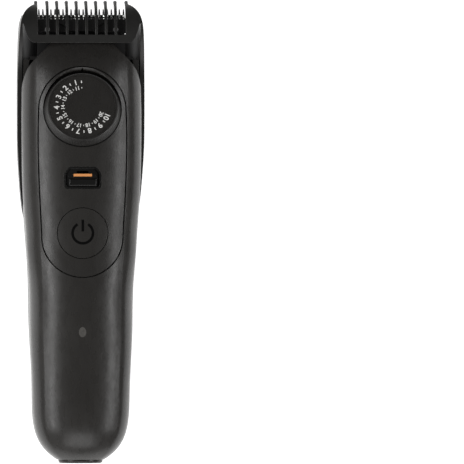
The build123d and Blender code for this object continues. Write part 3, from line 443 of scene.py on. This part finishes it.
def on_surface(node, x, y):
    """The place on top of a CAD node at this x and y, raised by the ink's thickness."""
    above_all = 60 * MM
    if node not in surfaces:
        mesh = frame["nodes"][node].data
        corners = [v.co.copy() for v in mesh.vertices]
        surfaces[node] = BVHTree.FromPolygons(corners, [tuple(p.vertices) for p in mesh.polygons])
    start = Vector((x * MM, y * MM, above_all))
    hit = surfaces[node].ray_cast(start, Vector((0, 0, -1)))[0]
    return Vector((x * MM, y * MM, hit.z + INK))


def strip(name, patches, node, finish, body):
    """Printed patches that lie on a curved surface: each is lines of points, joined as a grid."""
    points = []
    faces = []
    for patch in patches:
        first = len(points)
        across = len(patch[0])
        for line in patch:
            points.extend(on_surface(node, x, y) for x, y in line)
        for i in range(len(patch) - 1):
            for j in range(across - 1):
                corner = first + i * across + j
                faces.append((corner, corner + 1, corner + across + 1, corner + across))
    piece(name, points, faces, finish, body)


def power_symbol():
    """Open ring with a bar through its gap, printed on the button."""
    cx, cy = BUTTON_CENTRE
    ring_steps = 56
    bar_steps = 8
    ring = []
    for i in range(ring_steps + 1):
        angle = math.radians(SYMBOL_GAP + (360 - 2 * SYMBOL_GAP) * i / ring_steps)
        line = []
        for j in range(3):
            radius = SYMBOL_R + SYMBOL_W * (j / 2 - 0.5)
            line.append((cx - radius * math.sin(angle), cy + radius * math.cos(angle)))
        ring.append(line)
    bar = []
    for i in range(bar_steps + 1):
        y = cy + BAR_LOW + BAR_LENGTH * i / bar_steps
        bar.append([(cx + SYMBOL_W * (j / 2 - 0.5), y) for j in range(3)])
    strip("power_symbol", [ring, bar], "power_button", BLACK_INK, "button")


def on_blade(x, y, height):
    """A place on the fixed blade, from millimetres in its tilted plane."""
    return BLADE_MATRIX @ (Vector((x, y, height)) * MM)


def ground_facets():
    """Bright ground spots on each tooth of the fixed blade: low mounds, each with a level ridge."""
    sunk = 0.05
    proud = 0.02
    corners = ((-1, -1), (1, -1), (1, 1), (-1, 1))
    ridge_ends = ((0, -1), (0, 1))
    outline = (
        (3, 2, 1, 0),
        (1, 2, 6, 5),
        (3, 0, 4, 7),
        (0, 1, 5, 8, 4),
        (2, 3, 7, 9, 6),
        (4, 8, 9, 7),
        (8, 5, 6, 9),
    )
    points = []
    faces = []
    for i in range(TEETH):
        x = (i - (TEETH - 1) / 2) * TOOTH_PITCH
        for middle, half_width, half_length in FACETS:
            first = len(points)
            for side, end in corners:
                points.append(on_blade(x + side * half_width, middle + end * half_length, -sunk))
            for side, end in corners + ridge_ends:
                ridge = 0 if side else half_width * RIDGE_SLOPE
                up = proud + ridge + FACET_SLOPE * half_length * (end + 1)
                points.append(on_blade(x + side * half_width, middle + end * half_length, up))
            faces.extend(tuple(first + k for k in face) for face in outline)
    piece("blade_facets", points, faces, GROUND_STEEL, "handle")


def seal_wings():
    """Ends of the rubber seal in the gap between the neck and the cutter head."""
    into_seal = 0.2 * MM
    past_frame = 0.1 * MM
    outline = ((0, 1, 2, 3), (7, 6, 5, 4), (0, 4, 5, 1), (1, 5, 6, 2), (2, 6, 7, 3), (3, 7, 4, 0))
    points = []
    faces = []
    near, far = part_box("neck_seal")
    corners = ((near[1], near[2]), (far[1], near[2]), (far[1], far[2]), (near[1], far[2]))
    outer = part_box("neck_frame")[1][0] + past_frame
    for side in (-1, 1):
        first = len(points)
        for x in (far[0] - into_seal, outer):
            for y, z in corners:
                points.append(Vector((side * x, y, z)))
        for face in outline:
            order = face if side < 0 else face[::-1]  # mirrored, so turned round
            faces.append(tuple(first + k for k in order))
    piece("seal_wings", points, faces, FINISHES["rubber"], "handle")


def tine_tips():
    """Rounded beads on the ends of the comb's tines, so that they glide on the skin."""
    points = []
    faces = []
    around = 16
    rings = 9
    for x in TINES:
        first = len(points)
        for i in range(rings):
            polar = math.pi * (i + 0.5) / rings
            for j in range(around):
                turn = 2 * math.pi * j / around
                spot = (
                    x + BEAD_R * math.sin(polar) * math.cos(turn),
                    BEAD_CENTRE[0] + BEAD_R * math.sin(polar) * math.sin(turn),
                    BEAD_CENTRE[1] + BEAD_STRETCH * BEAD_R * math.cos(polar),
                )
                points.append(Vector(spot) * MM)
        for i in range(rings - 1):
            for j in range(around):
                k = (j + 1) % around
                low = first + i * around
                faces.append((low + j, low + j + around, low + k + around, low + k))
        faces.append(tuple(first + j for j in range(around)))
        last = first + (rings - 1) * around
        faces.append(tuple(last + around - 1 - j for j in range(around)))
    made = piece("tine_tips", points, faces, FINISHES["comb"], "comb")
    for face in made.data.polygons:
        face.use_smooth = True


knurled_skirt()
dial_print()
power_symbol()
ground_facets()
seal_wings()
tine_tips()

# ---------------------------------------------------------------- studio

SENSOR = 36  # the camera's, in mm
DISTANCE = 6.0
YAW = math.radians(2.3)
FRAME_WIDTH = 167.04 * MM  # what the camera covers at the height of the handle's sides
FRAME_HEIGHT = 20 * MM  # that height
AIM = Vector((54.75, 0, 12)) * MM

LAMP_TARGET = Vector((0, 0, 20 * MM))
STRIP_DISTANCE = 1.1
BASE_DISTANCE = 1.4
FLOOR_SIZE = 12
FLOOR_DROP = 0.3 * MM  # keeps it off the object's underside

ROOM_COLOUR = (1.0, 0.985, 0.965, 1.0)
WALL_LEFT = 0.66  # brightness of the room's sides
WALL_RIGHT = 0.26
HEAD_END = 0.1  # share of it that is left towards the head
HEAD_FADE = (0.3, 0.85)  # between these values of a direction's Y
OVERHEAD = 0.54  # share of it that is left straight above
TOP_FADE = (0.35, 0.95)  # between these values of a direction's Z


def aim(thing, place, target):
    """Put a lamp or camera at a place, facing the target, with its top towards the head."""
    back = (place - target).normalized()
    across = Vector((0, 1, 0)).cross(back).normalized()
    up = back.cross(across)
    turn = Matrix((across, up, back)).transposed().to_4x4()
    thing.matrix_world = Matrix.Translation(place) @ turn


def room():
    """Plain room: walls brighter than overhead, the left one brightest, dim towards the head."""
    world = bpy.data.worlds.new("studio")
    world.use_nodes = True
    tree = world.node_tree
    background = tree.nodes["Background"]
    background.inputs["Color"].default_value = ROOM_COLOUR
    direction = tree.nodes.new("ShaderNodeTexCoord")
    split = tree.nodes.new("ShaderNodeSeparateXYZ")
    tree.links.new(direction.outputs["Generated"], split.inputs["Vector"])
    sides = tree.nodes.new("ShaderNodeMapRange")
    ends = tree.nodes.new("ShaderNodeMapRange")
    height = tree.nodes.new("ShaderNodeMapRange")
    for node, source, limits in (
        (sides, split.outputs["X"], (-1, 1, WALL_LEFT, WALL_RIGHT)),
        (ends, split.outputs["Y"], (*HEAD_FADE, 1, HEAD_END)),
        (height, split.outputs["Z"], (*TOP_FADE, 1, OVERHEAD)),
    ):
        for socket, value in zip(("From Min", "From Max", "To Min", "To Max"), limits):
            node.inputs[socket].default_value = value
        tree.links.new(source, node.inputs["Value"])
    strength = sides.outputs["Result"]
    for other in (ends, height):
        product = tree.nodes.new("ShaderNodeMath")
        product.operation = "MULTIPLY"
        tree.links.new(strength, product.inputs[0])
        tree.links.new(other.outputs["Result"], product.inputs[1])
        strength = product.outputs["Value"]
    tree.links.new(strength, background.inputs["Strength"])
    return world


def studio():
    """Pale floor, soft strips on both sides and a low soft light at the base end."""
    bpy.ops.mesh.primitive_grid_add(
        x_subdivisions=8, y_subdivisions=8, size=FLOOR_SIZE, location=(0, 0, -FLOOR_DROP)
    )
    floor = bpy.context.object
    floor.name = "studio_floor"
    floor.data.materials.append(pale_floor().material)

    def area(name, direction, distance, size, power):
        """Rectangular lamp of this size in metres and power in watts."""
        lamp = bpy.data.lights.new(name, "AREA")
        lamp.shape = "RECTANGLE"
        lamp.size, lamp.size_y = size
        lamp.energy = power
        holder = bpy.data.objects.new(name, lamp)
        bpy.context.scene.collection.objects.link(holder)
        holder.visible_camera = False
        away = Vector(direction).normalized()
        aim(holder, away * distance + LAMP_TARGET, LAMP_TARGET)

    def leaning(degrees):
        """Direction this far from straight up, to the right."""
        angle = math.radians(degrees)
        return (math.sin(angle), 0, math.cos(angle))

    area("left_strip", leaning(-43), STRIP_DISTANCE, size=(0.12, 1.6), power=6.0)
    area("right_strip", leaning(46), STRIP_DISTANCE, size=(0.13, 1.6), power=4.9)
    area("base_light", (0, -0.9, 0.6), BASE_DISTANCE, size=(0.9, 0.7), power=4.2)
    bpy.context.scene.world = room()


def camera():
    """Long lens straight above the front, turned a little to the handle's left side."""
    lens = bpy.data.cameras.new("camera")
    lens.sensor_width = SENSOR
    lens.lens = SENSOR * (DISTANCE - FRAME_HEIGHT) / FRAME_WIDTH
    lens.clip_start = 0.1
    lens.clip_end = 30
    made = bpy.data.objects.new("camera", lens)
    bpy.context.scene.collection.objects.link(made)
    place = Vector((-DISTANCE * math.sin(YAW), 0, DISTANCE * math.cos(YAW)))
    aim(made, place, AIM)
    bpy.context.scene.camera = made


studio()
camera()
bpy.context.scene.view_settings.view_transform = "Standard"
